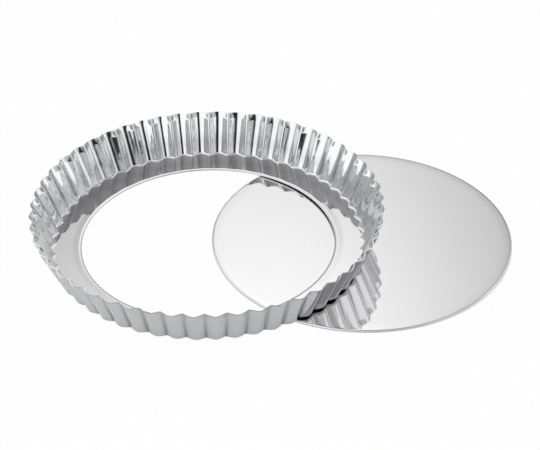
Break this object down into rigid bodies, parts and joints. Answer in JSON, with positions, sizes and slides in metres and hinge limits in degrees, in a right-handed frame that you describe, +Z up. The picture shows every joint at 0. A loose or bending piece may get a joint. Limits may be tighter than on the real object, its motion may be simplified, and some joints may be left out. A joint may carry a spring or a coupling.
{
  "type": "tart pan",
  "caption": "Round fluted sheet-metal tart pan with a flaring wall and a flat inner ledge, and a separate flat loose base lying half under the ring.",
  "frame": {"origin": "on the surface that the pan stands on, under the middle of the overall box of ring and base", "axes": "+Z up, +X from the ring's axis towards the loose base's axis, +Y away from the picture's viewer"},
  "size_m": [0.3442, 0.2518, 0.0357],
  "materials": {
    "ring_metal": "bright polished sheet",
    "base_metal": "mirror polished sheet"
  },
  "bodies": {
    "base": {"loose_base": "base_metal"},
    "ring": {"fluted_ring": "ring_metal"}
  },
  "joints": [
    {"name": "ring_lift", "type": "slide", "parent": "base", "child": "ring", "axis": [0, 0, 1], "range_m": [0, 0.06]}
  ]
}
